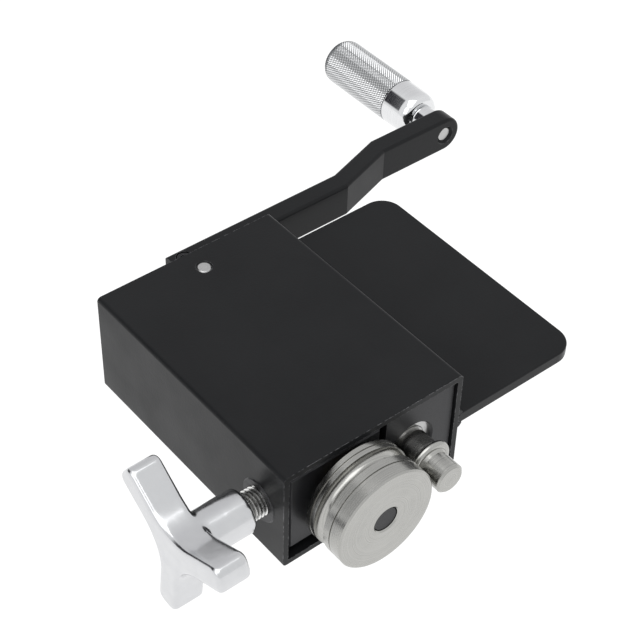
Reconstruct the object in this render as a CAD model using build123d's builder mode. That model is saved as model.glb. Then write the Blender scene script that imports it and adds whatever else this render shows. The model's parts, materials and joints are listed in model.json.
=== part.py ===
from build123d import *
import math
import os

# Hand-cranked tube bead roller, held in a bench vise by its side plate.
# Millimetres, +Z up. +Y runs along the rolls from their free ends to the crank, +X points out of
# the vise plate. The origin is the middle of the plate's underside.

os.makedirs("parts", exist_ok=True)

# ---- Driving dimensions ----

# Housing: a length of rectangular tube, open at both ends
tube_width = 70.0
tube_height = 40.0
tube_length = 97.0
tube_wall = 2.0
tube_corner = 1.5
tube_inner_corner = 0.5

# Vise plate, welded to the tube's right side at mid-height
plate_reach = 52.6
plate_thickness = 4.5
plate_corner = 8.0
plate_edge = 0.6
weld_leg = 1.8
weld_prep = 1.0  # bevel on the plate's welded edge
weld_throat = 1.4  # roundness of the bead, as a share of its leg

# Rolls
drive_inset = 19.0  # drive axis from the tube's right face
roll_distance = 25.6  # between the two roll axes
roll_reach = 17.3  # how far the rolls stand out of the tube
bead_offset = 7.6  # middle of the bead, from the tube's front face
wheel_radius = 18.3
wheel_width = 15.9
wheel_chamfer = 0.5
groove_width = 4.4
groove_depth = 2.9
line_width = 0.45
line_depth = 0.35
wheel_front_line = 12.5  # turned lines, from the tube's front face
wheel_rear_line = 3.7
roller_radius = 5.8
roller_end_radius = 5.2
roller_end_chamfer = 0.7
roller_neck_taper = 0.4
bead_radius = 7.6
bead_width = 2.6
roller_neck_radius = 5.4
roller_shoulder = 9.9  # where the roller's thinner end starts
grub_radius = 1.5
grub_sink = 0.4

# Wheel axle and its bushes
axle_radius = 4.5
axle_recess = 0.6
axle_edge = 0.4
axle_bush_radius = 6.0
axle_bush_length = 12.0
bush_flange = 1.5
axle_flange_radius = 8.0
washer_radius = 9.5
ring_thickness = 1.0
ring_height = 1.8
ring_groove_depth = 0.5
ring_mouth = 4.0  # gap in the retaining ring

# Drive spindle and its bearings
spindle_radius = 4.5
spindle_body_radius = 5.5
spigot_radius = 3.5
spigot_length = 13.0
spindle_edge = 0.4
bearing_radius = 8.5
bearing_width = 5.0
bearing_inset = 2.5  # bearing face from the tube's front face
bearing_mouth_edge = 0.5
bearing_inner_radius = 6.0
bearing_outer_inner_radius = 7.2
ball_radius = 1.2
ball_count = 9
shield_thickness = 0.4
drive_bush_radius = 6.5
drive_bush_length = 12.0
drive_flange_radius = 8.5

# Drive block, fixed in the tube's right side
block_inset = 1.0  # from the tube's front face
block_rear_inset = 2.0
block_width = 27.4
block_side_gap = 0.6
block_edge = 0.7
block_screw_radius = 2.0
block_screw_head_radius = 3.8
block_screw_length = 10.0
block_screw_key = 2.5
block_screw_spacing = 60.0

# Swing block, which carries the wheel and turns on the pivot pin
swing_inset = 1.5
swing_left_gap = 1.4
block_gap = 1.6  # between the swing block and the drive block
swing_top_gap = 2.5
swing_edge = 0.8
pivot_inset = 2.3  # pin axis from the swing block's right side
pivot_rear_inset = 8.5  # pin axis from the tube's back end
pivot_lobe_radius = 6.0
pivot_lobe_gap = 0.7
pin_radius = 2.5
pin_chamfer = 0.4
pin_sink = 0.1
pivot_bush_radius = 3.5
pivot_bush_length = 10.0
pivot_flange_radius = 5.5

# Adjusting screw, knob and pressure foot
screw_inset = 12.1  # screw axis from the tube's front face
screw_radius = 5.0
screw_core_radius = 4.1
screw_bush_radius = 7.5
screw_bush_stand = 0.3
screw_bush_edge = 0.25
screw_nose_radius = 2.5
foot_radius = 5.5
foot_thickness = 3.0
foot_neck_radius = 3.6
slot_skin = 2.6  # swing block wall that holds the foot
slot_slack = 0.9
pad_thickness = 1.6
pad_radius = 4.5
pad_edge = 0.3
knob_gap = 6.0  # between the tube and the knob
knob_boss_radius = 7.5
knob_boss_length = 16.0
knob_boss_edge = 0.6
knob_wing_count = 3
knob_wing_depth = 11.0
knob_reach = 27.5
knob_wing_width = 9.0
knob_wing_root = 8.6
knob_blend = 18.0  # round between two wings
knob_tip_round = 3.0
knob_edge = 1.5
knob_turn = 36.0  # degrees from +Y to the first wing
knob_grub_radius = 2.0

# Crank arm and grip
arm_gap = 7.7  # between the tube and the arm
arm_thickness = 8.0
arm_height = 14.0
arm_length = 114.5  # between the spindle's and the grip's axes
arm_tail = 14.0  # past the spindle's axis
arm_offset = 7.3
bend_start = 60.3  # along the arm from the spindle's axis
bend_end = 83.7
arm_edge = 1.2
clamp_slot = 1.6
clamp_screw_offset = 9.0
clamp_screw_radius = 1.5
clamp_head_radius = 2.75
clamp_head_height = 3.0
clamp_head_sink = 0.3
clamp_head_edge = 0.3
clamp_screw_end = 0.5  # short of the arm's underside
clamp_key = 2.5
collar_radius = 8.0
collar_gap = 0.3
collar_edge = 0.5
grip_pin_radius = 2.6
grip_shank_radius = 3.5
grip_pin_sink = 1.0
grip_hole_countersink = 3.7
grip_spacer_radius = 5.5
grip_spacer_length = 5.8
grip_spacer_edge = 0.5
grip_radius = 9.2
grip_arm_radius = 8.6
grip_nose_radius = 6.5
grip_nose_length = 4.5
grip_nose_bulge = (0.72, 0.3)  # middle of the nose's curve, as shares of its rise and length
grip_length = 49.6
grip_knurl_start = 13.2
grip_end_round = 3.5
grip_head_radius = 4.7
grip_head_depth = 4.0
grip_key = 4.0

# Clearances
running = 0.04  # radial, turning fits
slack = 0.1  # end play
seat = 0.3  # round faces of different bodies
sliver = 0.02  # flat left at the middle of a fully rounded end

# ---- Places worked out from them ----

mid_z = plate_thickness / 2
bottom_z = mid_z - tube_height / 2
inner_height = tube_height - 2 * tube_wall
right_x = -plate_reach / 2
left_x = right_x - tube_width
front_y = -tube_length / 2
back_y = tube_length / 2
drive_x = right_x - drive_inset
wheel_x = drive_x - roll_distance
block_right_x = right_x - tube_wall - block_side_gap
block_left_x = block_right_x - block_width
swing_left_x = left_x + tube_wall + swing_left_gap
swing_right_x = block_left_x - block_gap
pivot_x = swing_right_x - pivot_inset
pivot_y = back_y - pivot_rear_inset
screw_y = front_y + screw_inset
bead_y = front_y - bead_offset
roll_front_y = front_y - roll_reach

drive_axis = Axis((drive_x, 0, mid_z), (0, 1, 0))
wheel_axis = Axis((wheel_x, 0, mid_z), (0, 1, 0))


def facing_back(x, y, z):
    """A plane across Y, drawn from the front and extruded towards the crank."""
    return Plane(origin=(x, y, z), x_dir=(1, 0, 0), z_dir=(0, 1, 0))


def facing_right(x, y, z):
    """A plane across X, extruded towards the vise plate."""
    return Plane(origin=(x, y, z), x_dir=(0, 1, 0), z_dir=(1, 0, 0))


def facing_up(x, y, z):
    return Plane(origin=(x, y, z), x_dir=(1, 0, 0), z_dir=(0, 0, 1))


def disc(plane, radius, length, mode=Mode.ADD):
    """A round step of the piece being built, from the plane along its normal."""
    with BuildSketch(plane) as section:
        Circle(radius)
    extrude(section.sketch, amount=length, mode=mode)


def hex_socket(plane, radius, depth):
    """A hexagonal key socket; a negative depth goes against the plane's normal."""
    with BuildSketch(plane) as key:
        RegularPolygon(radius, 6, major_radius=False)
    extrude(key.sketch, amount=depth, mode=Mode.SUBTRACT)


def write(piece, name):
    piece.part.label = name
    export_step(piece.part, f"parts/{name}.step")


# ---- Housing ----

pin_hole_plane = facing_up(pivot_x, pivot_y, bottom_z)
block_front_y = front_y + block_inset
block_length = tube_length - block_inset - block_rear_inset
block_back_y = block_front_y + block_length
block_screw_y = [-block_screw_spacing / 2, block_screw_spacing / 2]
block_screw_places = [
    (x, y)
    for x in (block_left_x + 2 * block_screw_radius, block_right_x - 2 * block_screw_radius)
    for y in block_screw_y
]

with BuildPart() as housing_tube:
    with BuildSketch(facing_back((left_x + right_x) / 2, front_y, mid_z)):
        RectangleRounded(tube_width, tube_height, tube_corner)
        RectangleRounded(
            tube_width - 2 * tube_wall,
            tube_height - 2 * tube_wall,
            tube_inner_corner,
            mode=Mode.SUBTRACT,
        )
    extrude(amount=tube_length)
    disc(pin_hole_plane, pin_radius, tube_height, Mode.SUBTRACT)
    disc(facing_right(left_x, screw_y, mid_z), screw_bush_radius, tube_wall, Mode.SUBTRACT)
    for x, y in block_screw_places:
        with Locations(Plane(origin=(x, y, bottom_z), z_dir=(0, 0, -1))):
            CounterSinkHole(block_screw_radius, block_screw_head_radius, tube_wall, 90)
    pin_mouths = housing_tube.edges().filter_by(GeomType.CIRCLE).filter_by(
        lambda e: abs(e.radius - pin_radius) < 0.01 and abs(e.center().Y - pivot_y) < 0.01
    )
    chamfer(pin_mouths.group_by(Axis.Z)[0] + pin_mouths.group_by(Axis.Z)[-1], pin_chamfer)
write(housing_tube, "housing_tube")

# ---- Vise plate and its welds ----

with BuildPart() as vise_plate:
    with BuildSketch(facing_back(0, front_y, mid_z)):
        Polygon(
            (right_x, plate_thickness / 2 - weld_prep),
            (right_x + weld_leg, plate_thickness / 2),
            (plate_reach / 2, plate_thickness / 2),
            (plate_reach / 2, -plate_thickness / 2),
            (right_x + weld_leg, -plate_thickness / 2),
            (right_x, weld_prep - plate_thickness / 2),
            align=None,
        )
    extrude(amount=tube_length)
    fillet(vise_plate.edges().filter_by(Axis.Z).group_by(Axis.X)[-1], plate_corner)
    fillet(vise_plate.faces().sort_by(Axis.X)[-1].edges().filter_by(Axis.Y), plate_edge)
write(vise_plate, "vise_plate")

with BuildPart() as plate_welds:
    for up in (1, -1):
        toe_z = mid_z + up * plate_thickness / 2
        root_z = toe_z - up * weld_prep
        crown_z = toe_z + up * weld_leg
        with BuildSketch(facing_back(right_x, front_y, 0)):
            with BuildLine():
                Polyline((0, -crown_z), (0, -root_z), (weld_leg, -toe_z))
                RadiusArc((weld_leg, -toe_z), (0, -crown_z), up * weld_throat * weld_leg)
            make_face()
        extrude(amount=tube_length)
write(plate_welds, "plate_welds")

# ---- Drive block ----

notch_width = pivot_x + pivot_lobe_radius + pivot_lobe_gap - block_left_x
notch_length = back_y - pivot_y + pivot_lobe_radius + 2 * pivot_lobe_gap
front_seat_depth = bearing_inset - block_inset + bearing_width
bore_radius = spindle_body_radius + seat + slack

with BuildPart() as drive_block:
    with BuildSketch(facing_back((block_left_x + block_right_x) / 2, block_front_y, mid_z)):
        Rectangle(block_width, inner_height)
    extrude(amount=block_length)
    chamfer(drive_block.edges().filter_by(Axis.Y), block_edge)
    disc(facing_back(drive_x, block_front_y, mid_z), bore_radius, block_length, Mode.SUBTRACT)
    disc(facing_back(drive_x, block_front_y, mid_z), bearing_radius, front_seat_depth, Mode.SUBTRACT)
    disc(
        facing_back(drive_x, block_back_y - drive_bush_length, mid_z),
        drive_bush_radius,
        drive_bush_length,
        Mode.SUBTRACT,
    )
    with Locations((block_left_x + notch_width / 2, back_y - notch_length / 2, mid_z)):
        Box(notch_width, notch_length, tube_height, mode=Mode.SUBTRACT)
    bearing_mouth = drive_block.edges().filter_by(GeomType.CIRCLE).filter_by(
        lambda e: abs(e.radius - bearing_radius) < 0.01
    ).sort_by(Axis.Y)[0]
    chamfer(bearing_mouth, bearing_mouth_edge)
    for x, y in block_screw_places:
        disc(
            facing_up(x, y, bottom_z + tube_wall),
            block_screw_radius,
            block_screw_length - tube_wall + slack,
            Mode.SUBTRACT,
        )
write(drive_block, "drive_block")

with BuildPart() as block_screws:
    head_height = block_screw_head_radius - block_screw_radius
    for x, y in block_screw_places:
        with BuildSketch(Plane(origin=(x, y, 0), x_dir=(1, 0, 0), z_dir=(0, -1, 0))) as half:
            with BuildLine():
                Polyline(
                    (0, bottom_z),
                    (block_screw_head_radius, bottom_z),
                    (block_screw_radius, bottom_z + head_height),
                    (block_screw_radius, bottom_z + block_screw_length),
                    (0, bottom_z + block_screw_length),
                    close=True,
                )
            make_face()
        revolve(half.sketch, axis=Axis((x, y, 0), (0, 0, 1)))
        hex_socket(facing_up(x, y, bottom_z), block_screw_key / 2, head_height)
write(block_screws, "drive_block_screws")

# ---- Front ball bearing ----

bearing_y = front_y + bearing_inset
ball_pitch = (bearing_inner_radius + bearing_outer_inner_radius) / 2
ball_y = bearing_y + bearing_width / 2
race_circle = facing_back(drive_x, ball_y, mid_z)


def race_groove():
    """Cuts the balls' track, a little wider than the balls."""
    with BuildSketch(Plane(origin=(drive_x + ball_pitch, ball_y, mid_z), z_dir=(0, 0, 1))) as track:
        Circle(ball_radius + running)
    revolve(track.sketch, axis=drive_axis, mode=Mode.SUBTRACT)


with BuildPart() as bearing_outer_ring:
    disc(facing_back(drive_x, bearing_y, mid_z), bearing_radius, bearing_width)
    disc(
        facing_back(drive_x, bearing_y, mid_z),
        bearing_outer_inner_radius,
        bearing_width,
        Mode.SUBTRACT,
    )
    race_groove()
write(bearing_outer_ring, "front_bearing_outer_ring")

with BuildPart() as bearing_inner_ring:
    disc(facing_back(drive_x, bearing_y, mid_z), bearing_inner_radius, bearing_width)
    disc(facing_back(drive_x, bearing_y, mid_z), spindle_radius, bearing_width, Mode.SUBTRACT)
    race_groove()
write(bearing_inner_ring, "front_bearing_inner_ring")

with BuildPart() as bearing_balls:
    with Locations(race_circle):
        with PolarLocations(ball_pitch, ball_count):
            Sphere(ball_radius)
write(bearing_balls, "front_bearing_balls")

with BuildPart() as bearing_shield:
    shield_plane = facing_back(drive_x, bearing_y + slack, mid_z)
    disc(shield_plane, bearing_outer_inner_radius, shield_thickness)
    disc(shield_plane, bearing_inner_radius + 2 * slack, shield_thickness, Mode.SUBTRACT)
write(bearing_shield, "front_bearing_shield")

# ---- Rear bush ----

with BuildPart() as rear_bush:
    disc(
        facing_back(drive_x, block_back_y - drive_bush_length, mid_z),
        drive_bush_radius,
        drive_bush_length,
    )
    disc(facing_back(drive_x, block_back_y, mid_z), drive_flange_radius, bush_flange)
    disc(
        facing_back(drive_x, block_back_y - drive_bush_length, mid_z),
        spindle_radius + running,
        drive_bush_length + bush_flange,
        Mode.SUBTRACT,
    )
write(rear_bush, "rear_bush")

# ---- Pivot pin ----

with BuildPart() as pivot_pin:
    disc(facing_up(pivot_x, pivot_y, bottom_z + pin_sink), pin_radius, tube_height - 2 * pin_sink)
    chamfer(pivot_pin.edges().filter_by(GeomType.CIRCLE), pin_chamfer)
write(pivot_pin, "pivot_pin")

# ---- Threaded bush in the left wall ----

with BuildPart() as screw_bush:
    disc(
        facing_right(left_x - screw_bush_stand, screw_y, mid_z),
        screw_bush_radius,
        tube_wall + screw_bush_stand,
    )
    disc(
        facing_right(left_x - screw_bush_stand, screw_y, mid_z),
        screw_radius + running,
        tube_wall + screw_bush_stand,
        Mode.SUBTRACT,
    )
    bush_face = screw_bush.faces().sort_by(Axis.X)[0]
    chamfer(bush_face.edges(), screw_bush_edge)
write(screw_bush, "screw_bush")

# ---- Swing block ----

swing_front_y = front_y + swing_inset
swing_back_y = pivot_y + pivot_lobe_radius
swing_height = inner_height - 2 * swing_top_gap
swing_bottom_z = mid_z - swing_height / 2
swing_length = swing_back_y - swing_front_y
slot_x = swing_left_x + slot_skin
slot_depth = foot_thickness + pad_thickness + 3 * slack

with BuildPart() as swing_block:
    with BuildSketch(Plane.XY.offset(swing_bottom_z)):
        with Locations(((swing_left_x + swing_right_x) / 2, (swing_front_y + pivot_y) / 2)):
            Rectangle(swing_right_x - swing_left_x, pivot_y - swing_front_y)
        with Locations(((swing_left_x + pivot_x) / 2, (pivot_y + swing_back_y) / 2)):
            Rectangle(pivot_x - swing_left_x, swing_back_y - pivot_y)
        with Locations((pivot_x, pivot_y)):
            Circle(pivot_lobe_radius)
    extrude(amount=swing_height)
    chamfer(swing_block.faces().sort_by(Axis.Y)[0].edges().filter_by(Axis.X), swing_edge)
    chamfer(swing_block.edges().filter_by(Axis.Z).group_by(Axis.Y)[0], swing_edge)
    disc(
        facing_up(pivot_x, pivot_y, swing_bottom_z),
        pivot_bush_radius,
        swing_height,
        Mode.SUBTRACT,
    )
    disc(
        facing_back(wheel_x, swing_front_y, mid_z),
        axle_radius + seat + slack,
        swing_length,
        Mode.SUBTRACT,
    )
    for seat_y in (swing_front_y, swing_back_y - axle_bush_length):
        disc(
            facing_back(wheel_x, seat_y, mid_z),
            axle_bush_radius,
            axle_bush_length,
            Mode.SUBTRACT,
        )
    # T-slot for the pressure foot, open below: a narrow neck and a wide pocket behind it
    slot_bottom_z = swing_bottom_z - slack
    for start_x, depth, half in (
        (swing_left_x, slot_skin, foot_neck_radius + slot_slack),
        (slot_x, slot_depth, foot_radius + slot_slack),
    ):
        slot_top_z = mid_z + half
        with Locations((start_x + depth / 2, screw_y, (slot_bottom_z + slot_top_z) / 2)):
            Box(depth, 2 * half, slot_top_z - slot_bottom_z, mode=Mode.SUBTRACT)
write(swing_block, "swing_block")

with BuildPart() as pivot_bushes:
    flange_height = swing_top_gap - slack
    for z, up in ((swing_bottom_z, -1), (swing_bottom_z + swing_height, 1)):
        outward = Plane(origin=(pivot_x, pivot_y, z), x_dir=(1, 0, 0), z_dir=(0, 0, up))
        inward = Plane(origin=(pivot_x, pivot_y, z), x_dir=(1, 0, 0), z_dir=(0, 0, -up))
        disc(outward, pivot_flange_radius, flange_height)
        disc(inward, pivot_bush_radius, pivot_bush_length)
    disc(pin_hole_plane, pin_radius + running, tube_height, Mode.SUBTRACT)
write(pivot_bushes, "pivot_bushes")

with BuildPart() as axle_bushes:
    disc(facing_back(wheel_x, swing_front_y, mid_z), axle_bush_radius, axle_bush_length)
    disc(facing_back(wheel_x, swing_front_y - bush_flange, mid_z), axle_flange_radius, bush_flange)
    disc(
        facing_back(wheel_x, swing_back_y - axle_bush_length, mid_z),
        axle_bush_radius,
        axle_bush_length,
    )
    disc(
        facing_back(wheel_x, swing_front_y - bush_flange, mid_z),
        axle_radius + running,
        swing_length + bush_flange,
        Mode.SUBTRACT,
    )
write(axle_bushes, "axle_bushes")

pad_x = slot_x + slot_depth - pad_thickness

with BuildPart() as pressure_pad:
    disc(facing_right(pad_x, screw_y, mid_z), pad_radius, pad_thickness)
    chamfer(pressure_pad.faces().sort_by(Axis.X)[0].edges(), pad_edge)
write(pressure_pad, "pressure_pad")

# ---- Grooved wheel, its axle, washer and retaining ring ----

wheel_front_y = roll_front_y
wheel_rear_y = wheel_front_y + wheel_width
groove_bottom = wheel_radius - groove_depth


def turned_line(radius, y):
    """The four corners of a fine turned line in a roll's rim, from the front."""
    return [
        (radius, y - line_width / 2),
        (radius - line_depth, y - line_width / 4),
        (radius - line_depth, y + line_width / 4),
        (radius, y + line_width / 2),
    ]


with BuildPart() as bead_wheel:
    with BuildSketch(Plane(origin=(wheel_x, 0, mid_z), x_dir=(1, 0, 0), z_dir=(0, 0, 1))):
        with BuildLine():
            rim_front = Polyline(
                (axle_radius, wheel_rear_y),
                (axle_radius, wheel_front_y + wheel_chamfer),
                (axle_radius + wheel_chamfer, wheel_front_y),
                (wheel_radius - wheel_chamfer, wheel_front_y),
                (wheel_radius, wheel_front_y + wheel_chamfer),
                *turned_line(wheel_radius, front_y - wheel_front_line),
                (wheel_radius, bead_y - groove_width / 2),
            )
            groove = ThreePointArc(
                rim_front @ 1,
                (groove_bottom, bead_y),
                (wheel_radius, bead_y + groove_width / 2),
            )
            Polyline(
                groove @ 1,
                *turned_line(wheel_radius, front_y - wheel_rear_line),
                (wheel_radius, wheel_rear_y - wheel_chamfer),
                (wheel_radius - wheel_chamfer, wheel_rear_y),
                (axle_radius, wheel_rear_y),
            )
        make_face()
    revolve(axis=wheel_axis)
write(bead_wheel, "bead_wheel")

axle_front_y = wheel_front_y + axle_recess
ring_y = swing_back_y + 2 * slack
axle_back_y = ring_y + ring_thickness + slack

with BuildPart() as wheel_axle:
    disc(facing_back(wheel_x, axle_front_y, mid_z), axle_radius, axle_back_y - axle_front_y)
    chamfer(wheel_axle.edges().filter_by(GeomType.CIRCLE), axle_edge)
    with BuildSketch(facing_back(wheel_x, ring_y, mid_z)):
        Circle(axle_radius)
        Circle(axle_radius - ring_groove_depth, mode=Mode.SUBTRACT)
    extrude(amount=ring_thickness, mode=Mode.SUBTRACT)
write(wheel_axle, "wheel_axle")

with BuildPart() as axle_washer:
    washer_plane = facing_back(wheel_x, wheel_rear_y, mid_z)
    washer_thickness = swing_front_y - bush_flange - slack - wheel_rear_y
    disc(washer_plane, washer_radius, washer_thickness)
    disc(washer_plane, axle_radius, washer_thickness, Mode.SUBTRACT)
write(axle_washer, "wheel_washer")

with BuildPart() as axle_ring:
    with BuildSketch(facing_back(wheel_x, ring_y, mid_z)):
        Circle(axle_radius + ring_height)
        Circle(axle_radius - ring_groove_depth, mode=Mode.SUBTRACT)
        with Locations((0, -axle_radius)):
            Rectangle(ring_mouth, axle_radius, mode=Mode.SUBTRACT)
    extrude(amount=ring_thickness)
write(axle_ring, "axle_retaining_ring")

# ---- Drive spindle ----

inner_ring_back_y = bearing_y + bearing_width
shoulder_y = block_back_y - drive_bush_length - slack
arm_front_y = back_y + arm_gap
arm_back_y = arm_front_y + arm_thickness
spindle_back_y = arm_back_y + slack

with BuildPart() as drive_spindle:
    disc(facing_back(drive_x, bearing_y - spigot_length, mid_z), spigot_radius, spigot_length)
    disc(facing_back(drive_x, bearing_y, mid_z), spindle_radius, spindle_back_y - bearing_y)
    disc(
        facing_back(drive_x, inner_ring_back_y, mid_z),
        spindle_body_radius,
        shoulder_y - inner_ring_back_y,
    )
    chamfer(drive_spindle.edges().filter_by(GeomType.CIRCLE).group_by(Axis.Y)[-1], spindle_edge)
write(drive_spindle, "drive_spindle")

# ---- Beaded roller and its grub screw ----

grub_y = bead_y + (bearing_y - bead_y) / 2

with BuildPart() as bead_roller:
    with BuildSketch(Plane(origin=(drive_x, 0, mid_z), x_dir=(1, 0, 0), z_dir=(0, 0, 1))):
        with BuildLine():
            roller_front = Polyline(
                (0, bearing_y),
                (0, roll_front_y),
                (roller_end_radius - roller_end_chamfer, roll_front_y),
                (roller_end_radius, roll_front_y + roller_end_chamfer),
                (roller_end_radius, front_y - roller_shoulder),
                (roller_radius, bead_y - bead_width / 2),
            )
            bead = ThreePointArc(
                roller_front @ 1,
                (bead_radius, bead_y),
                (roller_radius, bead_y + bead_width / 2),
            )
            Polyline(
                bead @ 1,
                (roller_radius, front_y + block_inset),
                (roller_neck_radius, front_y + block_inset + roller_neck_taper),
                (roller_neck_radius, bearing_y),
                (0, bearing_y),
            )
        make_face()
    revolve(axis=drive_axis)
    disc(
        facing_back(drive_x, bearing_y - spigot_length, mid_z),
        spigot_radius,
        spigot_length,
        Mode.SUBTRACT,
    )
    disc(
        Plane(origin=(drive_x, grub_y, mid_z), x_dir=(1, 0, 0), z_dir=(0, 0, -1)),
        grub_radius,
        roller_radius,
        Mode.SUBTRACT,
    )
write(bead_roller, "bead_roller")

with BuildPart() as roller_grub:
    disc(
        facing_up(drive_x, grub_y, mid_z - roller_radius + grub_sink),
        grub_radius,
        roller_radius - spigot_radius - grub_sink,
    )
    hex_socket(
        facing_up(drive_x, grub_y, mid_z - roller_radius + grub_sink),
        grub_radius / 2,
        grub_radius / 2,
    )
write(roller_grub, "roller_grub_screw")

# ---- Spindle collar and its grub screw ----

collar_y = block_back_y + bush_flange + collar_gap
collar_length = arm_front_y - collar_y - slack
collar_grub_y = collar_y + collar_length / 2

with BuildPart() as spindle_collar:
    disc(facing_back(drive_x, collar_y, mid_z), collar_radius, collar_length)
    chamfer(spindle_collar.edges().filter_by(GeomType.CIRCLE), collar_edge)
    disc(facing_back(drive_x, collar_y, mid_z), spindle_radius, collar_length, Mode.SUBTRACT)
    disc(facing_up(drive_x, collar_grub_y, mid_z), grub_radius, collar_radius, Mode.SUBTRACT)
write(spindle_collar, "spindle_collar")

with BuildPart() as collar_grub:
    disc(
        facing_up(drive_x, collar_grub_y, mid_z + spindle_radius),
        grub_radius,
        collar_radius - spindle_radius - grub_sink,
    )
    hex_socket(
        facing_up(drive_x, collar_grub_y, mid_z + collar_radius - grub_sink),
        grub_radius / 2,
        -grub_radius / 2,
    )
write(collar_grub, "collar_grub_screw")

# ---- Crank arm and its clamp screw ----

grip_x = drive_x + arm_length
arm_tail_x = drive_x - arm_tail
arm_end_x = grip_x + arm_height / 2
arm_outer_y = arm_front_y + arm_offset
arm_top_z = mid_z + arm_height / 2
arm_bottom_z = mid_z - arm_height / 2
clamp_x = drive_x - clamp_screw_offset
clamp_y = arm_front_y + arm_thickness / 2
clamp_head_z = arm_top_z - clamp_head_height - clamp_head_sink
grip_face_y = arm_outer_y + arm_thickness

with BuildPart() as crank_arm:
    with BuildSketch(Plane.XY.offset(arm_bottom_z)):
        with BuildLine():
            Polyline(
                (arm_tail_x, arm_front_y),
                (drive_x + bend_start, arm_front_y),
                (drive_x + bend_end, arm_outer_y),
                (arm_end_x, arm_outer_y),
                (arm_end_x, arm_outer_y + arm_thickness),
                (drive_x + bend_end, arm_outer_y + arm_thickness),
                (drive_x + bend_start, arm_front_y + arm_thickness),
                (arm_tail_x, arm_front_y + arm_thickness),
                close=True,
            )
        make_face()
    extrude(amount=arm_height)
    fillet(crank_arm.edges().filter_by(Axis.Y).group_by(Axis.X)[-1], arm_height / 2 - sliver)
    long_edges = crank_arm.edges().filter_by(
        lambda e: abs(abs(e.center().Z - mid_z) - arm_height / 2) < 0.01
        and e.length > 2 * arm_thickness
    )
    fillet(long_edges, arm_edge)
    disc(facing_back(drive_x, arm_front_y, mid_z), spindle_radius, arm_thickness, Mode.SUBTRACT)
    disc(
        facing_back(grip_x, arm_outer_y, mid_z),
        grip_pin_radius,
        arm_thickness,
        Mode.SUBTRACT,
    )
    with Locations(Plane(origin=(grip_x, arm_outer_y, mid_z), z_dir=(0, -1, 0))):
        CounterSinkHole(grip_pin_radius, grip_hole_countersink, arm_thickness)
    with Locations(((arm_tail_x + drive_x) / 2, clamp_y, mid_z)):
        Box(arm_tail, arm_thickness, clamp_slot, mode=Mode.SUBTRACT)
    disc(facing_up(clamp_x, clamp_y, arm_bottom_z), clamp_screw_radius, arm_height, Mode.SUBTRACT)
    disc(
        facing_up(clamp_x, clamp_y, clamp_head_z),
        clamp_head_radius + slack,
        arm_height,
        Mode.SUBTRACT,
    )
write(crank_arm, "crank_arm")

with BuildPart() as clamp_screw:
    disc(
        facing_up(clamp_x, clamp_y, arm_bottom_z + clamp_screw_end),
        clamp_screw_radius,
        clamp_head_z - arm_bottom_z - clamp_screw_end,
    )
    disc(facing_up(clamp_x, clamp_y, clamp_head_z), clamp_head_radius, clamp_head_height)
    chamfer(clamp_screw.faces().sort_by(Axis.Z)[-1].edges(), clamp_head_edge)
    socket_plane = facing_up(clamp_x, clamp_y, clamp_head_z + clamp_head_height)
    hex_socket(socket_plane, clamp_key / 2, -clamp_head_height / 2)
write(clamp_screw, "crank_clamp_screw")

# ---- Grip, its spacer and its shoulder pin ----

grip_start_y = grip_face_y + grip_spacer_length + slack
grip_end_y = grip_start_y + grip_length
head_y = grip_end_y - grip_head_depth

with BuildPart() as grip_spacer:
    spacer_plane = facing_back(grip_x, grip_face_y, mid_z)
    disc(spacer_plane, grip_spacer_radius, grip_spacer_length)
    chamfer(grip_spacer.faces().sort_by(Axis.Y)[-1].edges(), grip_spacer_edge)
    disc(spacer_plane, grip_shank_radius, grip_spacer_length, Mode.SUBTRACT)
write(grip_spacer, "grip_spacer")

with BuildPart() as grip_pin:
    pin_front_y = arm_outer_y + grip_pin_sink
    disc(facing_back(grip_x, pin_front_y, mid_z), grip_pin_radius, arm_thickness - grip_pin_sink)
    disc(facing_back(grip_x, grip_face_y, mid_z), grip_shank_radius, head_y - grip_face_y + slack)
    disc(facing_back(grip_x, head_y + slack, mid_z), grip_head_radius, grip_head_depth / 2)
    socket_plane = facing_back(grip_x, head_y + slack + grip_head_depth / 2, mid_z)
    hex_socket(socket_plane, grip_key / 2, -grip_head_depth / 3)
write(grip_pin, "grip_pin")

with BuildPart() as crank_grip:
    with BuildSketch(Plane(origin=(grip_x, 0, mid_z), x_dir=(1, 0, 0), z_dir=(0, 0, 1))):
        with BuildLine():
            bore = grip_shank_radius + running
            head_bore = grip_head_radius + seat
            nose = Polyline(
                (head_bore, grip_end_y),
                (head_bore, head_y),
                (bore, head_y),
                (bore, grip_start_y),
                (grip_nose_radius, grip_start_y),
            )
            shoulder = ThreePointArc(
                nose @ 1,
                (
                    grip_nose_radius + grip_nose_bulge[0] * (grip_arm_radius - grip_nose_radius),
                    grip_start_y + grip_nose_bulge[1] * grip_nose_length,
                ),
                (grip_arm_radius, grip_start_y + grip_nose_length),
            )
            side = Polyline(
                shoulder @ 1,
                (grip_radius, grip_start_y + grip_knurl_start),
                (grip_radius, grip_end_y - grip_end_round),
            )
            end = RadiusArc(
                side @ 1,
                (grip_radius - grip_end_round, grip_end_y),
                -grip_end_round,
            )
            Line(end @ 1, nose @ 0)
        make_face()
    revolve(axis=Axis((grip_x, 0, mid_z), (0, 1, 0)))
write(crank_grip, "crank_grip")

# ---- Pressure foot, adjusting screw, knob and knob pin ----

foot_x = pad_x - foot_thickness - 2 * slack
knob_inner_x = left_x - knob_gap
wing_back_x = knob_inner_x - knob_boss_length
knob_outer_x = wing_back_x - knob_wing_depth
screw_start_x = knob_outer_x + knob_wing_depth / 2
screw_end_x = slot_x - slot_skin - slack
nose_end_x = foot_x + foot_thickness / 2

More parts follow.
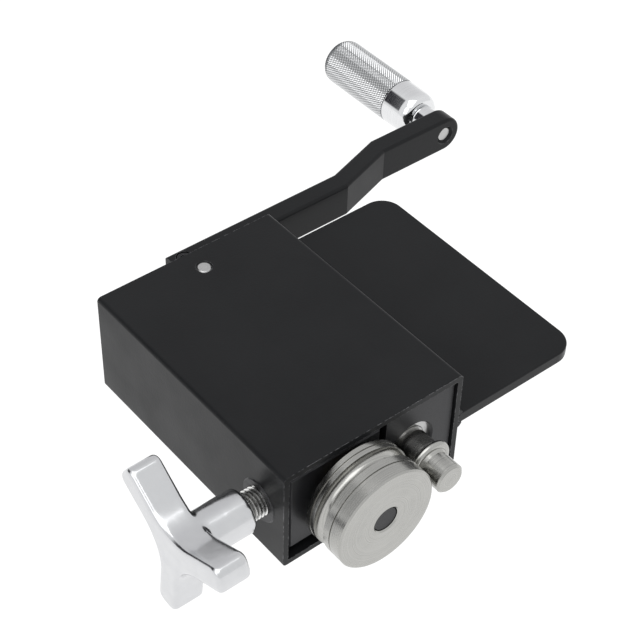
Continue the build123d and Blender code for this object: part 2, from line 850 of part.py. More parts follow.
with BuildPart() as pressure_foot:
    disc(facing_right(foot_x, screw_y, mid_z), foot_radius, foot_thickness)
    disc(
        facing_right(screw_end_x + slack, screw_y, mid_z),
        foot_neck_radius,
        foot_x - screw_end_x - slack,
    )
    disc(
        facing_right(screw_end_x, screw_y, mid_z),
        screw_nose_radius + running,
        nose_end_x + slack - screw_end_x,
        Mode.SUBTRACT,
    )
write(pressure_foot, "pressure_foot")

with BuildPart() as adjusting_screw:
    disc(
        facing_right(screw_start_x, screw_y, mid_z),
        screw_radius,
        screw_end_x - screw_start_x,
    )
    chamfer(adjusting_screw.faces().sort_by(Axis.X)[-1].edges(), screw_radius - screw_core_radius)
    disc(
        facing_right(screw_end_x, screw_y, mid_z),
        screw_nose_radius,
        nose_end_x - screw_end_x,
    )
write(adjusting_screw, "adjusting_screw")

def from_screw_axis(edge):
    """How far the middle of a knob edge lies from the screw's axis."""
    middle = edge.center()
    return math.hypot(middle.Y - screw_y, middle.Z - mid_z)


knob_grub_x = knob_inner_x - knob_boss_length / 2

with BuildPart() as knob:
    with BuildSketch(facing_right(knob_outer_x, screw_y, mid_z)):
        with PolarLocations(0, knob_wing_count, start_angle=knob_turn):
            Polygon(
                (0, knob_wing_root / 2),
                (knob_reach, knob_wing_width / 2),
                (knob_reach, -knob_wing_width / 2),
                (0, -knob_wing_root / 2),
                align=None,
            )
    extrude(amount=knob_wing_depth)
    tips = knob.edges().filter_by(Axis.X).filter_by(lambda e: from_screw_axis(e) > knob_reach / 2)
    fillet(tips, knob_tip_round)
    roots = knob.edges().filter_by(Axis.X).filter_by(lambda e: from_screw_axis(e) < knob_reach / 2)
    fillet(roots, knob_blend)
    fillet(knob.faces().sort_by(Axis.X)[0].edges(), knob_edge)
    fillet(knob.faces().sort_by(Axis.X)[-1].edges(), knob_edge)
    disc(
        facing_right(wing_back_x - knob_edge, screw_y, mid_z),
        knob_boss_radius,
        knob_boss_length + knob_edge,
    )
    chamfer(knob.faces().sort_by(Axis.X)[-1].edges(), knob_boss_edge)
    disc(
        facing_right(screw_start_x, screw_y, mid_z),
        screw_radius,
        knob_inner_x - screw_start_x,
        Mode.SUBTRACT,
    )
    disc(
        facing_up(knob_grub_x, screw_y, mid_z - knob_boss_radius),
        knob_grub_radius,
        knob_boss_radius,
        Mode.SUBTRACT,
    )
write(knob, "knob")

with BuildPart() as knob_grub:
    grub_plane = facing_up(knob_grub_x, screw_y, mid_z - knob_boss_radius + 2 * slack)
    disc(grub_plane, knob_grub_radius, knob_boss_radius - screw_radius - 2 * slack)
    hex_socket(grub_plane, knob_grub_radius / 2, knob_grub_radius / 2)
write(knob_grub, "knob_grub_screw")
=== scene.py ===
import json
import math

import bmesh
import bpy
from mathutils import Matrix, Vector


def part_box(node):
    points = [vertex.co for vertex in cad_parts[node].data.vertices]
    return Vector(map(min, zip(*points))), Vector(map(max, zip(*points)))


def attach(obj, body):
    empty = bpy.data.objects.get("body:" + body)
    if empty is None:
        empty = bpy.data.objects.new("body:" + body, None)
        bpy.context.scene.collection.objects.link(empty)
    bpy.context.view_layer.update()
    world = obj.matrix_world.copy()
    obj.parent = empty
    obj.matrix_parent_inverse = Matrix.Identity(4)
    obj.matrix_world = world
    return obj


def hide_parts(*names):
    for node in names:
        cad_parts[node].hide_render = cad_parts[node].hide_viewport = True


# Tube bead roller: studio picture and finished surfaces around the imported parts. Metres throughout.

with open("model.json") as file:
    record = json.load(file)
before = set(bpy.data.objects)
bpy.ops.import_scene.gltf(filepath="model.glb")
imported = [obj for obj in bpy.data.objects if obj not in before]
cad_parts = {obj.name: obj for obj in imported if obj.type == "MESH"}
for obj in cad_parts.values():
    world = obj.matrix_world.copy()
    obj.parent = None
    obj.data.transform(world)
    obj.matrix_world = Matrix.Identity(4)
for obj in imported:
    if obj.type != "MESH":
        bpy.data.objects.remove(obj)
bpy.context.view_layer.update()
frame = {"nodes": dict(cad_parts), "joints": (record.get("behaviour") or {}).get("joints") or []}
mm = 0.001
jointPlace = {joint["name"]: Vector(joint["pos_m"]) for joint in frame["joints"] if "pos_m" in joint}


# Materials. Every pattern reads Object coordinates, so sizes below are real ones.

def addNode(material, kind, inputs=None, **settings):
    node = material.node_tree.nodes.new(kind)
    for setting, value in settings.items():
        setattr(node, setting, value)
    for name, value in (inputs or {}).items():
        if isinstance(value, bpy.types.NodeSocket):
            material.node_tree.links.new(value, node.inputs[name])
        else:
            node.inputs[name].default_value = value
    return node


def startMaterial(name, metallic=0.0, **sockets):
    material = bpy.data.materials.new(name)
    material.use_nodes = True
    shader = material.node_tree.nodes["Principled BSDF"]
    shader.inputs["Metallic"].default_value = metallic
    for socket, value in sockets.items():
        shader.inputs[socket.replace("_", " ")].default_value = value
    return material, shader


def place(material, centre=(0, 0, 0), scale=(1, 1, 1)):
    coordinate = addNode(material, "ShaderNodeTexCoord")
    shift = [-c * s for c, s in zip(centre, scale)]
    mapping = addNode(
        material,
        "ShaderNodeMapping",
        {"Vector": coordinate.outputs["Object"], "Location": shift, "Scale": scale},
    )
    return mapping.outputs["Vector"]


def noise(material, vector, size, detail=3.0, roughness=0.5, dimensions="3D"):
    inputs = {"Vector": vector, "Scale": 1 / size, "Detail": detail, "Roughness": roughness}
    node = addNode(material, "ShaderNodeTexNoise", inputs, noise_dimensions=dimensions)
    return node.outputs["Fac"]


def spread(material, value, fromRange, toRange):
    inputs = {
        "Value": value,
        "From Min": fromRange[0],
        "From Max": fromRange[1],
        "To Min": toRange[0],
        "To Max": toRange[1],
    }
    return addNode(material, "ShaderNodeMapRange", inputs, clamp=True).outputs["Result"]


def compute(material, operation, first, second=0.0):
    return addNode(material, "ShaderNodeMath", {0: first, 1: second}, operation=operation).outputs[0]


def blendColour(material, share, first, second):
    node = addNode(material, "ShaderNodeMix", data_type="RGBA")
    node.inputs["Factor"].default_value = 0.5
    for socket, value in (("Factor", share), ("A", first), ("B", second)):
        target = next(s for s in node.inputs if s.name == socket and s.enabled)
        if isinstance(value, bpy.types.NodeSocket):
            material.node_tree.links.new(value, target)
        else:
            target.default_value = (*value, 1.0)
    return next(s for s in node.outputs if s.enabled)


def relief(material, height, depth, strength=1.0, under=None):
    inputs = {"Height": height, "Distance": depth, "Strength": strength}
    if under is not None:
        inputs["Normal"] = under
    return addNode(material, "ShaderNodeBump", inputs).outputs["Normal"]


noiseSpan = (0.3, 0.7)  # where nearly all of a noise's values lie


def edgeMask(material, width, sharpness=(0.985, 0.90)):
    # Where the surface turns within this width: 0 on the flats, 1 on an edge.
    rounded = addNode(material, "ShaderNodeBevel", {"Radius": width}, samples=6)
    surface = addNode(material, "ShaderNodeNewGeometry")
    inputs = {0: rounded.outputs["Normal"], 1: surface.outputs["Normal"]}
    facing = addNode(material, "ShaderNodeVectorMath", inputs, operation="DOT_PRODUCT")
    return spread(material, facing.outputs["Value"], sharpness, (0.0, 1.0))


def connect(material, shader, **sockets):
    for name, value in sockets.items():
        material.node_tree.links.new(value, shader.inputs[name.replace("_", " ")])


powderCoat = {
    "colour": (0.0085, 0.0088, 0.0096),
    "faded": (0.0135, 0.014, 0.015),
    "bare": (0.22, 0.22, 0.23),
    "grain": 0.75 * mm,
    "grainDepth": 0.03 * mm,
    "patches": 28 * mm,
    "gloss": (0.28, 0.40),
    "sheen": 0.13,
    "patchRange": (0.35, 0.65),
    "wearWidth": 0.35 * mm,
    "chips": 2.2 * mm,
    "chipRange": (0.46, 0.60),
}


def makePowderCoat():
    look = powderCoat
    material, shader = startMaterial("satinPowderCoat", Specular_IOR_Level=look["sheen"])
    vector = place(material)
    patches = noise(material, vector, look["patches"], 4.0, 0.6)
    grain = noise(material, vector, look["grain"], 2.0)
    chips = noise(material, vector, look["chips"], 5.0, 0.7)
    chips = spread(material, chips, look["chipRange"], (0.0, 1.0))
    worn = compute(material, "MULTIPLY", edgeMask(material, look["wearWidth"]), chips)
    coat = blendColour(material, patches, look["colour"], look["faded"])
    connect(
        material,
        shader,
        Base_Color=blendColour(material, worn, coat, look["bare"]),
        Metallic=worn,
        Roughness=spread(material, patches, look["patchRange"], look["gloss"]),
        Normal=relief(material, grain, look["grainDepth"]),
    )
    return material


blackOxide = {
    "colour": (0.012, 0.012, 0.0135),
    "sheen": (0.022, 0.0225, 0.0255),
    "bare": (0.24, 0.24, 0.24),
    "metal": 0.55,
    "millMarks": 0.35 * mm,
    "millDepth": 0.012 * mm,
    "gloss": (0.30, 0.46),
    "patches": 9 * mm,
    "wearWidth": 0.2 * mm,
    "wear": (0.0, 0.8),
}


def makeBlackOxide():
    look = blackOxide
    material, shader = startMaterial("oiledBlackOxide", look["metal"])
    vector = place(material)
    marks = noise(material, place(material, scale=(1.0, 0.06, 1.0)), look["millMarks"], 2.0)
    patches = noise(material, vector, look["patches"], 4.0, 0.6)
    rubbed = spread(material, patches, (0.42, 0.6), look["wear"])
    worn = compute(material, "MULTIPLY", edgeMask(material, look["wearWidth"]), rubbed)
    oxide = blendColour(material, patches, look["colour"], look["sheen"])
    connect(
        material,
        shader,
        Base_Color=blendColour(material, worn, oxide, look["bare"]),
        Roughness=spread(material, marks, noiseSpan, look["gloss"]),
        Normal=relief(material, marks, look["millDepth"]),
    )
    return material


def ringVector(material, axisPoint, axis):
    # Distance from a turning axis and place along it: what a lathe's tool marks follow.
    vector = place(material, axisPoint)
    across = {"y": (1, 0, 1), "x": (0, 1, 1), "z": (1, 1, 0)}[axis]
    flat = addNode(material, "ShaderNodeVectorMath", {0: vector, 1: across}, operation="MULTIPLY")
    radius = addNode(material, "ShaderNodeVectorMath", {0: flat.outputs["Vector"]}, operation="LENGTH")
    along = addNode(material, "ShaderNodeSeparateXYZ", {"Vector": vector})
    inputs = {"X": radius.outputs["Value"], "Y": along.outputs[axis.upper()]}
    return addNode(material, "ShaderNodeCombineXYZ", inputs).outputs["Vector"]


def makeTurnedMetal(name, axisPoint, axis, look):
    material, shader = startMaterial(name, 1.0, Anisotropic=look.get("stretch", 0.0))
    rings = ringVector(material, axisPoint, axis)
    marks = noise(material, rings, look["marks"], 2.0, 0.6, "2D")
    bands = noise(material, rings, look["bands"], 1.0, 0.5, "2D")
    patches = noise(material, place(material), look["patches"], 4.0, 0.6)
    tint = blendColour(material, patches, look["colour"], look["dull"])
    marked = spread(material, marks, (0.38, 0.62), (0.0, 1.0))
    shade = blendColour(material, marked, look["dull"], look["colour"])
    both = blendColour(material, spread(material, bands, noiseSpan, (0.0, 1.0)), tint, shade)
    smooth = spread(material, patches, noiseSpan, look["gloss"])
    rough = compute(material, "ADD", smooth, compute(material, "MULTIPLY", marks, look["markGloss"]))
    connect(
        material,
        shader,
        Base_Color=both,
        Roughness=rough,
        Normal=relief(material, marks, look["depth"]),
    )
    if look.get("stretch"):
        tangent = addNode(material, "ShaderNodeTangent", direction_type="RADIAL", axis=axis.upper())
        connect(material, shader, Tangent=tangent.outputs["Tangent"])
    return material


turnedSteel = {
    "colour": (0.48, 0.475, 0.455),
    "dull": (0.34, 0.34, 0.325),
    "marks": 0.22 * mm,
    "bands": 1.6 * mm,
    "patches": 11 * mm,
    "gloss": (0.15, 0.25),
    "markGloss": 0.10,
    "depth": 0.008 * mm,
    "stretch": 0.35,
}
groundSteel = {
    "colour": (0.55, 0.55, 0.545),
    "dull": (0.42, 0.42, 0.42),
    "marks": 0.12 * mm,
    "bands": 0.8 * mm,
    "patches": 6 * mm,
    "gloss": (0.20, 0.32),
    "markGloss": 0.10,
    "depth": 0.004 * mm,
}
bronzeTurning = {
    "colour": (0.60, 0.42, 0.20),
    "dull": (0.42, 0.28, 0.13),
    "marks": 0.2 * mm,
    "bands": 1.0 * mm,
    "patches": 3 * mm,
    "gloss": (0.32, 0.46),
    "markGloss": 0.10,
    "depth": 0.006 * mm,
}
aluminiumTurning = {
    "colour": (0.80, 0.805, 0.81),
    "dull": (0.70, 0.705, 0.715),
    "marks": 0.15 * mm,
    "bands": 1.2 * mm,
    "patches": 9 * mm,
    "gloss": (0.06, 0.11),
    "markGloss": 0.04,
    "depth": 0.0015 * mm,
}
polishedCasting = {
    "colour": (0.67, 0.675, 0.685),
    "cloud": (0.58, 0.585, 0.60),
    "swell": 7 * mm,
    "swellDepth": 0.05 * mm,
    "scratches": 0.5 * mm,
    "scratchDepth": 0.003 * mm,
    "patches": 5 * mm,
    "gloss": (0.15, 0.25),
}


def makePolishedCasting():
    look = polishedCasting
    material, shader = startMaterial("tumbledAluminium", 1.0)
    vector = place(material)
    swell = noise(material, vector, look["swell"], 1.0)
    patches = noise(material, vector, look["patches"], 4.0, 0.6)
    scratches = noise(material, place(material, scale=(1.0, 0.25, 0.35)), look["scratches"], 3.0)
    wavy = relief(material, swell, look["swellDepth"])
    connect(
        material,
        shader,
        Base_Color=blendColour(material, patches, look["colour"], look["cloud"]),
        Roughness=spread(material, patches, noiseSpan, look["gloss"]),
        Normal=relief(material, scratches, look["scratchDepth"], 1.0, wavy),
    )
    return material


# Painted shade and highlight: thread roots take a dark colour and crests a light one by distance from
# the axis, standing in for shade in the roots and light on the crests.
threadSteel = {
    "crest": (0.88, 0.88, 0.87),
    "root": (0.30, 0.30, 0.29),
    "rootRadius": 4.3 * mm,
    "crestRadius": 4.85 * mm,
    "patches": 2.5 * mm,
    "crestHighlight": (0.75, 1.0),
    "gloss": (0.20, 0.34),
}


def makeThreadSteel(axisPoint):
    look = threadSteel
    material, shader = startMaterial("rolledThreadSteel", 1.0)
    rings = ringVector(material, axisPoint, "x")
    radius = addNode(material, "ShaderNodeSeparateXYZ", {"Vector": rings}).outputs["X"]
    patches = noise(material, place(material), look["patches"], 4.0, 0.6)
    # Painted shade in the roots and painted highlight on the crests, the highlight patchy along the
    # screw.
    height = spread(material, radius, (look["rootRadius"], look["crestRadius"]), (0.0, 1.0))
    crestHighlight = spread(material, patches, (0.2, 0.6), look["crestHighlight"])
    paintedCrestLight = compute(material, "MULTIPLY", height, crestHighlight)
    connect(
        material,
        shader,
        Base_Color=blendColour(material, paintedCrestLight, look["root"], look["crest"]),
        Roughness=spread(material, patches, noiseSpan, look["gloss"]),
    )
    return material


# Colour and reach of the painted shade in the knurl valleys.
knurlValleyShade = {
    "colour": (0.16, 0.165, 0.17),
    "radii": (8.93 * mm, 9.06 * mm),
    "start": 13.0 * mm,
    "fade": 0.2 * mm,
}


def paintValleyShade(material, axisPoint):
    # Painted shade low on the grip beyond the knurl's start: the knurl valleys are darkened to stand in
    # for the shade between the diamonds. It takes in the rounded end and the bore too.
    look = knurlValleyShade
    shader = material.node_tree.nodes["Principled BSDF"]
    plain = shader.inputs["Base Color"].links[0].from_socket
    rings = addNode(material, "ShaderNodeSeparateXYZ", {"Vector": ringVector(material, axisPoint, "y")})
    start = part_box("crank_grip")[0].y + look["start"] - axisPoint.y
    low = spread(material, rings.outputs["X"], look["radii"], (1.0, 0.0))
    knurled = spread(material, rings.outputs["Y"], (start, start + look["fade"]), (0.0, 1.0))
    paintedShade = compute(material, "MULTIPLY", low, knurled)
    connect(material, shader, Base_Color=blendColour(material, paintedShade, plain, look["colour"]))


wheelAxis = jointPlace["wheel_spin"]
driveAxis = jointPlace["crank_spin"]
gripAxis = jointPlace["grip_spin"]
screwAxis = jointPlace["screw_turn"]
pivotAxis = jointPlace["swing_pivot"]

coat = makePowderCoat()
oxide = makeBlackOxide()
casting = makePolishedCasting()
threadFinish = makeThreadSteel(screwAxis)
wheelSteel = makeTurnedMetal("turnedSteelWheel", wheelAxis, "y", turnedSteel)
rollerSteel = makeTurnedMetal("turnedSteelRoller", driveAxis, "y", turnedSteel)
spindleSteel = makeTurnedMetal("groundSteelSpindle", driveAxis, "y", groundSteel)
pinSteel = makeTurnedMetal("groundSteelPin", pivotAxis, "z", groundSteel)
footSteel = makeTurnedMetal("groundSteelFoot", screwAxis, "x", groundSteel)
gripAluminium = makeTurnedMetal("turnedAluminiumGrip", gripAxis, "y", aluminiumTurning)
knurlAluminium = makeTurnedMetal("turnedAluminiumKnurl", gripAxis, "y", aluminiumTurning)
paintValleyShade(knurlAluminium, gripAxis)
gripSteel = makeTurnedMetal("groundSteelGripPin", gripAxis, "y", groundSteel)
driveBronze = makeTurnedMetal("bronzeDriveBush", driveAxis, "y", bronzeTurning)
axleBronze = makeTurnedMetal("bronzeAxleBushes", wheelAxis, "y", bronzeTurning)
pivotBronze = makeTurnedMetal("bronzePivotBushes", pivotAxis, "z", bronzeTurning)

finishes = {
    coat: ("housing_tube", "vise_plate", "crank_arm"),
    oxide: (
        "drive_block",
        "swing_block",
        "drive_block_screws",
        "crank_clamp_screw",
        "roller_grub_screw",
        "collar_grub_screw",
        "knob_grub_screw",
        "axle_retaining_ring",
        "wheel_axle",
        "screw_bush",
    ),
    wheelSteel: ("bead_wheel", "wheel_washer"),
    rollerSteel: ("bead_roller", "spindle_collar"),
    spindleSteel: (
        "drive_spindle",
        "front_bearing_outer_ring",
        "front_bearing_inner_ring",
        "front_bearing_balls",
        "front_bearing_shield",
    ),
    pinSteel: ("pivot_pin",),
    footSteel: ("pressure_foot", "pressure_pad"),
    gripAluminium: ("grip_spacer",),
    gripSteel: ("grip_pin",),
    driveBronze: ("rear_bush",),
    axleBronze: ("axle_bushes",),
    pivotBronze: ("pivot_bushes",),
}

for material, names in finishes.items():
    for name in names:
        for slot in frame["nodes"][name].material_slots:
            slot.material = material
print("finishes: on", sum(len(names) for names in finishes.values()), "parts")


# New pieces, each in place of a plain part and inside its box.

mergeDistance = 0.001 * mm


def finishPiece(mesh, name, material, body, nodes, sharpAngle=32):
    bmesh.ops.recalc_face_normals(mesh, faces=mesh.faces)
    for face in mesh.faces:
        face.smooth = True
    for edge in mesh.edges:
        if len(edge.link_faces) == 2 and edge.calc_face_angle() > math.radians(sharpAngle):
            edge.smooth = False
    data = bpy.data.meshes.new(name)
    mesh.to_mesh(data)
    mesh.free()
    data.materials.append(material)
    piece = bpy.data.objects.new(name, data)
    bpy.context.scene.collection.objects.link(piece)
    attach(piece, body)
    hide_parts(*nodes)
    print(name + ":", len(data.polygons), "faces")
    return piece


def drawLine(mesh, points):
    corners = [mesh.verts.new(point) for point in points]
    return corners + [mesh.edges.new(pair) for pair in zip(corners, corners[1:])]


threadedScrew = {
    "pitch": 1.25 * mm,
    "crest": 5.0 * mm,
    "root": 4.2 * mm,
    "tooth": ((0.0, 0.0), (0.08, 0.0), (0.44, 1.0), (0.58, 1.0), (0.94, 0.0), (1.0, 0.0)),
    "stepsPerTurn": 48,
    "noseRadius": 2.5 * mm,
    "noseLength": 4.3 * mm,
}


def makeThreadedScrew():
    size = threadedScrew
    low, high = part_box("adjusting_screw")
    threadEnd = high.x - size["noseLength"]
    pitch = size["pitch"]
    turns = math.ceil((threadEnd - low.x) / pitch) + 3
    mesh = bmesh.new()
    depth = size["crest"] - size["root"]
    tooth = [
        (low.x + (share - 1) * pitch, screwAxis.y, screwAxis.z + size["root"] + rise * depth)
        for share, rise in size["tooth"]
    ]
    bmesh.ops.spin(
        mesh,
        geom=drawLine(mesh, tooth),
        cent=screwAxis,
        axis=(1, 0, 0),
        dvec=(pitch / size["stepsPerTurn"], 0, 0),
        angle=2 * math.pi * turns,
        steps=turns * size["stepsPerTurn"],
        use_merge=False,
    )
    bmesh.ops.remove_doubles(mesh, verts=mesh.verts, dist=mergeDistance)
    for end, outward in ((low.x, -1), (threadEnd, 1)):
        everything = mesh.verts[:] + mesh.edges[:] + mesh.faces[:]
        bmesh.ops.bisect_plane(
            mesh, geom=everything, plane_co=(end, 0, 0), plane_no=(outward, 0, 0), clear_outer=True
        )
        rim = [
            edge
            for edge in mesh.edges
            if edge.is_boundary and all(abs(v.co.x - end) < 0.01 * mm for v in edge.verts)
        ]
        cap = bmesh.ops.contextual_create(mesh, geom=rim)["faces"]
    bmesh.ops.recalc_face_normals(mesh, faces=mesh.faces)
    bmesh.ops.inset_individual(mesh, faces=cap, thickness=size["root"] - size["noseRadius"])
    nose = bmesh.ops.extrude_discrete_faces(mesh, faces=cap)["faces"]
    tip = {v for face in nose for v in face.verts}
    bmesh.ops.translate(mesh, verts=list(tip), vec=(size["noseLength"], 0, 0))
    finishPiece(mesh, "threadedScrew", threadFinish, "adjuster", ["adjusting_screw"])


knurledGrip = {
    "bore": 3.54 * mm,
    "headBore": 5.0 * mm,
    "headDepth": 4.0 * mm,
    "noseRadius": 6.5 * mm,
    "noseLength": 4.5 * mm,
    "armRadius": 9.0 * mm,
    "radius": 9.2 * mm,
    "knurlStart": 13.2 * mm,
    "knurlLeadIn": 0.5 * mm,
    "knurlStep": 0.05 * mm,
    "knurlDepth": 0.28 * mm,
    "knurlPitch": 1.2 * mm,
    "columns": 60,
    "endRound": 3.5 * mm,
    "roundSteps": 6,
    "knurledSteps": 4,
    "noseSteps": 8,
}


def makeKnurledGrip():
    size = knurledGrip
    low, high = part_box("crank_grip")
    base = size["radius"] - size["knurlDepth"]
    start, end = low.y, high.y
    outline = [(end, size["headBore"]), (end - size["headDepth"], size["headBore"])]
    outline += [(end - size["headDepth"], size["bore"]), (start, size["bore"])]
    rise = size["armRadius"] - size["noseRadius"]
    for step in range(size["noseSteps"] + 1):
        turn = math.pi / 2 * step / size["noseSteps"]
        along = size["noseLength"] * (1 - math.cos(turn))
        outline.append((start + along, size["noseRadius"] + rise * math.sin(turn)))
    knurlStart = start + size["knurlStart"]
    outline.append((knurlStart - size["knurlLeadIn"], size["radius"] - size["knurlStep"]))
    roundStart = end - size["endRound"]
    rows = round((roundStart - knurlStart) / size["knurlPitch"])
    outline += [(knurlStart + (roundStart - knurlStart) * row / rows, base) for row in range(rows + 1)]
    for step in range(1, size["roundSteps"] + 1):
        turn = math.pi / 2 * step / size["roundSteps"]
        radius = base - size["endRound"] * (1 - math.cos(turn))
        outline.append((roundStart + size["endRound"] * math.sin(turn), radius))
    outline.append(outline[0])
    mesh = bmesh.new()
    points = [(gripAxis.x + radius, y, gripAxis.z) for y, radius in outline]
    bmesh.ops.spin(
        mesh,
        geom=drawLine(mesh, points),
        cent=gripAxis,
        axis=(0, 1, 0),
        angle=2 * math.pi,
        steps=size["columns"],
        use_merge=True,
    )
    bmesh.ops.remove_doubles(mesh, verts=mesh.verts, dist=mergeDistance)
    bmesh.ops.recalc_face_normals(mesh, faces=mesh.faces)
    lastTurn = math.pi / 2 * size["knurledSteps"] / size["roundSteps"]
    knurlEnd = roundStart + size["endRound"] * math.sin(lastTurn)

    def isKnurled(face):
        middle = face.calc_center_median()
        reach = math.hypot(middle.x - gripAxis.x, middle.z - gripAxis.z)
        return knurlStart < middle.y < knurlEnd and reach > size["headBore"] + 0.5 * mm

    zone = {face for face in mesh.faces if isKnurled(face)}
    inner = {e for face in zone for e in face.edges if all(f in zone for f in e.link_faces)}
    centres = bmesh.ops.poke(mesh, faces=list(zone))["verts"]
    bmesh.ops.dissolve_edges(mesh, edges=list(inner), use_verts=False)
    diamonds = {face for v in centres for face in v.link_faces if len(face.verts) == 4}
    bmesh.ops.poke(mesh, faces=list(diamonds), offset=size["knurlDepth"])
    finishPiece(mesh, "knurledGrip", knurlAluminium, "grip", ["crank_grip"], 24)


castKnob = {
    "voxel": 0.42 * mm,
    "smoothing": 0.5,
    "rounds": 4,
    "bossRounds": 12,
    "boreReach": 5.6 * mm,
    "boreEnd": 3 * mm,
    "bossReach": 9.6 * mm,
    "neckEnds": (5 * mm, 8 * mm),
    "mergeDistance": 0.002 * mm,
}


def makeCastKnob():
    # A copy of the knob, remeshed and rubbed down until its corners flow as a tumbled casting's do.
    size = castKnob
    source = frame["nodes"]["knob"]
    mesh = bmesh.new()
    mesh.from_mesh(source.data)
    bmesh.ops.remove_doubles(mesh, verts=mesh.verts, dist=size["mergeDistance"])
    data = bpy.data.meshes.new("castKnobBlank")
    mesh.to_mesh(data)
    mesh.free()
    blank = bpy.data.objects.new("castKnobBlank", data)
    bpy.context.scene.collection.objects.link(blank)
    remesh = blank.modifiers.new("remesh", "REMESH")
    remesh.mode = "VOXEL"
    remesh.voxel_size = size["voxel"]
    shaped = bpy.data.meshes.new_from_object(blank.evaluated_get(bpy.context.evaluated_depsgraph_get()))
    bpy.data.objects.remove(blank)
    mesh = bmesh.new()
    mesh.from_mesh(shaped)
    low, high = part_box("knob")
    neckStart, neckEnd = low.x + size["neckEnds"][0], high.x - size["neckEnds"][1]
    boreEnd = low.x + size["boreEnd"]

    def reach(v):
        return math.hypot(v.co.y - screwAxis.y, v.co.z - screwAxis.z)

    def isNeck(v):
        return reach(v) < size["bossReach"] and neckStart < v.co.x < neckEnd

    everyWay = {"use_axis_x": True, "use_axis_y": True, "use_axis_z": True}
    outside = [v for v in mesh.verts if reach(v) > size["boreReach"] or v.co.x < boreEnd]
    neck = [v for v in outside if isNeck(v)]
    for corners, rounds in ((outside, size["rounds"]), (neck, size["bossRounds"])):
        for step in range(rounds):
            bmesh.ops.smooth_vert(mesh, verts=corners, factor=size["smoothing"], **everyWay)
    finishPiece(mesh, "castKnob", casting, "adjuster", ["knob"], 50)


weldBeads = {
    "ripple": 1.2 * mm,
    "stepsPerRipple": 4,
    "swell": 0.12,
    "arcPoints": 8,
    "roundness": 1.25,
    "inset": 0.1 * mm,
    "rootDepth": 0.5 * mm,
}


def makeWeldBeads():
    # Two rippled beads: a bow-shaped end pushed along the joint, which swells and shrinks as it goes.
    size = weldBeads
    low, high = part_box("plate_welds")
    plateLow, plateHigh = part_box("vise_plate")
    leg = high.x - low.x - size["inset"]
    length = high.y - low.y
    steps = round(length / size["ripple"]) * size["stepsPerRipple"]
    turns = [math.pi / 2 * point / size["arcPoints"] for point in range(size["arcPoints"] + 1)]
    bow = [(math.cos(turn) ** size["roundness"], math.sin(turn) ** size["roundness"]) for turn in turns]

    def section(step, toe, crown):
        ripple = 1 - size["swell"] * (1 - abs(math.sin(math.pi * step / size["stepsPerRipple"])))
        y = low.y + length * step / steps
        ring = [(low.x + leg * out * ripple, y, toe + (crown - toe) * up * ripple) for out, up in bow]
        return ring + [(low.x, y, toe + math.copysign(size["rootDepth"], toe - crown))]

    mesh = bmesh.new()
    for toe, crown in ((plateHigh.z, high.z - size["inset"]), (plateLow.z, low.z + size["inset"])):
        end = mesh.faces.new([mesh.verts.new(corner) for corner in section(0, toe, crown)])
        for step in range(1, steps + 1):
            end = bmesh.ops.extrude_discrete_faces(mesh, faces=[end])["faces"][0]
            for corner, spot in zip(end.verts, section(step, toe, crown)):
                corner.co = spot
    bmesh.ops.holes_fill(mesh, edges=[edge for edge in mesh.edges if edge.is_boundary])
    finishPiece(mesh, "weldBeads", coat, "housing", ["plate_welds"], 60)


makeThreadedScrew()
makeKnurledGrip()
makeCastKnob()
makeWeldBeads()


# Floor, light and camera.

studio = {
    "floorDrop": 2 * mm,
    "floorSize": 6.0,
    "floorShade": (0.17, 0.17, 0.17),
    "floorPaint": (0.20, 0.20, 0.20),
    "floorGlow": 0.92,
    "floorClouds": 300 * mm,
    "crankReach": 0.1145,
    "gripRadius": 0.0095,
}


def makeFloor():
    mesh = bmesh.new()
    level = driveAxis.z - studio["crankReach"] - studio["gripRadius"] - studio["floorDrop"]
    bmesh.ops.create_grid(mesh, x_segments=4, y_segments=4, size=studio["floorSize"] / 2)
    bmesh.ops.translate(mesh, verts=mesh.verts, vec=(0, 0, level))
    data = bpy.data.meshes.new("floor")
    mesh.to_mesh(data)
    mesh.free()
    floor = bpy.data.objects.new("floor", data)
    bpy.context.scene.collection.objects.link(floor)
    material, shader = startMaterial("litFloor", 0.0, Roughness=0.9, Specular_IOR_Level=0.0)
    shader.inputs["Emission Color"].default_value = (1, 1, 1, 1)
    shader.inputs["Emission Strength"].default_value = studio["floorGlow"]
    shade = noise(material, place(material), studio["floorClouds"], 2.0)
    paint = blendColour(material, shade, studio["floorShade"], studio["floorPaint"])
    connect(material, shader, Base_Color=paint)
    data.materials.append(material)


lamps = {
    "overheadBox": {
        "place": (-0.30, -0.20, 1.15),
        "aim": (-0.03, 0.02, 0.0),
        "size": (1.0, 1.0),
        "power": 5.0,
    },
    "leftBox": {
        "place": (-1.0, -0.25, 0.65),
        "aim": (-0.05, 0.0, 0.0),
        "size": (0.7, 0.7),
        "power": 1.5,
    },
}


def makeLamps():
    for name, lamp in lamps.items():
        light = bpy.data.lights.new(name, "AREA")
        light.shape = "RECTANGLE"
        light.size, light.size_y = lamp["size"]
        light.energy = lamp["power"]
        thing = bpy.data.objects.new(name, light)
        thing.location = lamp["place"]
        aim = Vector(lamp["aim"]) - Vector(lamp["place"])
        thing.rotation_euler = aim.to_track_quat("-Z", "Y").to_euler()
        bpy.context.scene.collection.objects.link(thing)


surround = {
    "light": (0.92, 0.925, 0.93),
    "dark": (0.03, 0.03, 0.035),
    "dim": (0.78, 0.78, 0.79),
    "dimBack": {"towards": (0.35, 0.75, 0.55), "inner": 15, "outer": 50},
    "flagTurn": 140,
    "flagHalfWidth": (34, 27),
    "flagLean": (0.49, 0.515),
}


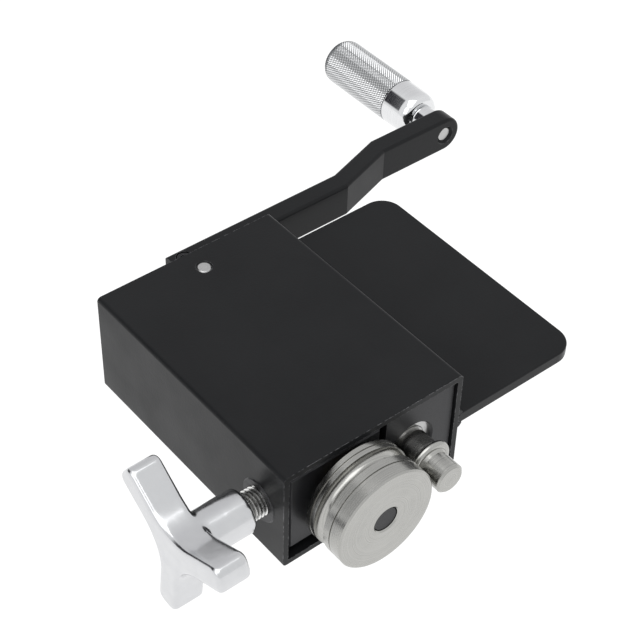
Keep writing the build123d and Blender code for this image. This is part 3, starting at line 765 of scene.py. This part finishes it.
def makeSurround():
    # A white tent with a dimmer far side and one narrow black flag, set by its turn round +Y.
    world = bpy.data.worlds.new("studioSurround")
    world.use_nodes = True
    direction = addNode(world, "ShaderNodeTexCoord").outputs["Generated"]
    back = surround["dimBack"]
    towards = Vector(back["towards"]).normalized()
    facing = addNode(world, "ShaderNodeVectorMath", {0: direction, 1: towards}, operation="DOT_PRODUCT")
    edge = [math.cos(math.radians(back[side])) for side in ("outer", "inner")]
    dimming = spread(world, facing.outputs["Value"], edge, (0.0, 1.0))
    way = addNode(world, "ShaderNodeSeparateXYZ", {"Vector": direction}).outputs
    turn = compute(world, "ARCTAN2", way["Z"], way["X"])
    offset = compute(world, "SUBTRACT", turn, math.radians(surround["flagTurn"]))
    aside = compute(world, "ABSOLUTE", offset)
    halfWidth = [math.radians(angle) for angle in surround["flagHalfWidth"]]
    across = spread(world, aside, halfWidth, (0.0, 1.0))
    lean = spread(world, way["Y"], surround["flagLean"], (0.0, 1.0))
    flag = compute(world, "MULTIPLY", across, lean)
    tent = blendColour(world, dimming, surround["light"], surround["dim"])
    tent = blendColour(world, flag, tent, surround["dark"])
    world.node_tree.links.new(tent, world.node_tree.nodes["Background"].inputs["Color"])
    bpy.context.scene.world = world


cameraSetup = {
    "place": (-0.2936, -0.2947, 0.3856),
    "aim": (-0.0591, -0.0181, 0.0414),
    "roll": 1.94,
    "lens": 93.8,
    "sensor": 36,
}


def makeCamera():
    data = bpy.data.cameras.new("camera")
    data.lens = cameraSetup["lens"]
    data.sensor_width = cameraSetup["sensor"]
    camera = bpy.data.objects.new("camera", data)
    bpy.context.scene.collection.objects.link(camera)
    aim = Vector(cameraSetup["aim"]) - Vector(cameraSetup["place"])
    roll = Matrix.Rotation(math.radians(cameraSetup["roll"]), 4, "Z")
    facing = aim.to_track_quat("-Z", "Y").to_matrix().to_4x4()
    camera.matrix_world = Matrix.Translation(cameraSetup["place"]) @ facing @ roll
    bpy.context.scene.camera = camera


makeFloor()
makeLamps()
makeSurround()
makeCamera()
bpy.context.scene.view_settings.view_transform = "Standard"
bpy.context.scene.view_settings.look = "None"
print("studio: floor, lamps and camera")
